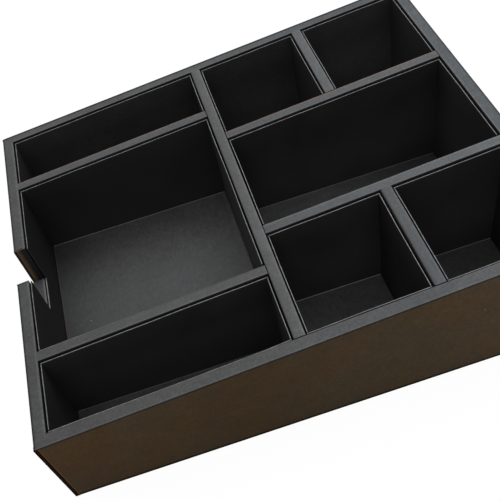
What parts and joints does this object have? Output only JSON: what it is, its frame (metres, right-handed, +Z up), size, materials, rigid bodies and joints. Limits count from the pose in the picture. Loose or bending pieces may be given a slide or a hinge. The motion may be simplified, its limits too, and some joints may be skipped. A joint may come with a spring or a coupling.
{
  "type": "condiment tray",
  "caption": "Sloped rectangular tray of wrapped board with lined, square-cornered bays split by a spine and cross dividers, and a finger notch in its low wall",
  "frame": {"origin": "middle of the footprint, on the table", "axes": "+X points from the low end with the finger notch to the high end, +Y to the back, +Z up"},
  "size_m": [0.2966, 0.2506, 0.0854],
  "materials": {
    "leatherette": "fine-grained, satin",
    "lining": "fine-grained, matt",
    "floor_lining": "brushed, matt",
    "board": "raw fibreboard",
    "felt": "felted"
  },
  "bodies": {
    "root": {"base_board": "board", "divider_high_back": "leatherette", "divider_high_front": "leatherette", "divider_low_back": "leatherette", "divider_low_front": "leatherette", "divider_split_back": "leatherette", "divider_split_front": "leatherette", "liner_back_inner_back": "lining", "liner_back_inner_front": "lining", "liner_back_inner_high": "lining", "liner_back_inner_low": "lining", "liner_back_outer_back": "lining", "liner_back_outer_front": "lining", "liner_back_outer_high": "lining", "liner_back_outer_low": "lining", "liner_front_inner_back": "lining", "liner_front_inner_front": "lining", "liner_front_inner_high": "lining", "liner_front_inner_low": "lining", "liner_front_outer_back": "lining", "liner_front_outer_front": "lining", "liner_front_outer_high": "lining", "liner_front_outer_low": "lining", "liner_low_back_back": "lining", "liner_low_back_front": "lining", "liner_low_back_high": "lining", "liner_low_back_low": "lining", "liner_low_front_back": "lining", "liner_low_front_front": "lining", "liner_low_front_high": "lining", "liner_low_front_low": "lining", "liner_middle_back": "lining", "liner_middle_front": "lining", "liner_middle_high": "lining", "liner_middle_low": "lining", "liner_napkin_back": "lining", "liner_napkin_front": "lining", "liner_napkin_high": "lining", "liner_napkin_low": "lining", "notch_band": "leatherette", "pad_back_inner": "floor_lining", "pad_back_outer": "floor_lining", "pad_front_inner": "floor_lining", "pad_front_outer": "floor_lining", "pad_low_back": "floor_lining", "pad_low_front": "floor_lining", "pad_middle": "floor_lining", "pad_napkin": "floor_lining", "spine": "leatherette", "underside_sheet": "felt", "wall_board_back": "board", "wall_board_front": "board", "wall_board_high": "board", "wall_board_low": "board", "wall_cover_back": "leatherette", "wall_cover_front": "leatherette", "wall_cover_high": "leatherette", "wall_cover_low": "leatherette"}
  },
  "joints": []
}
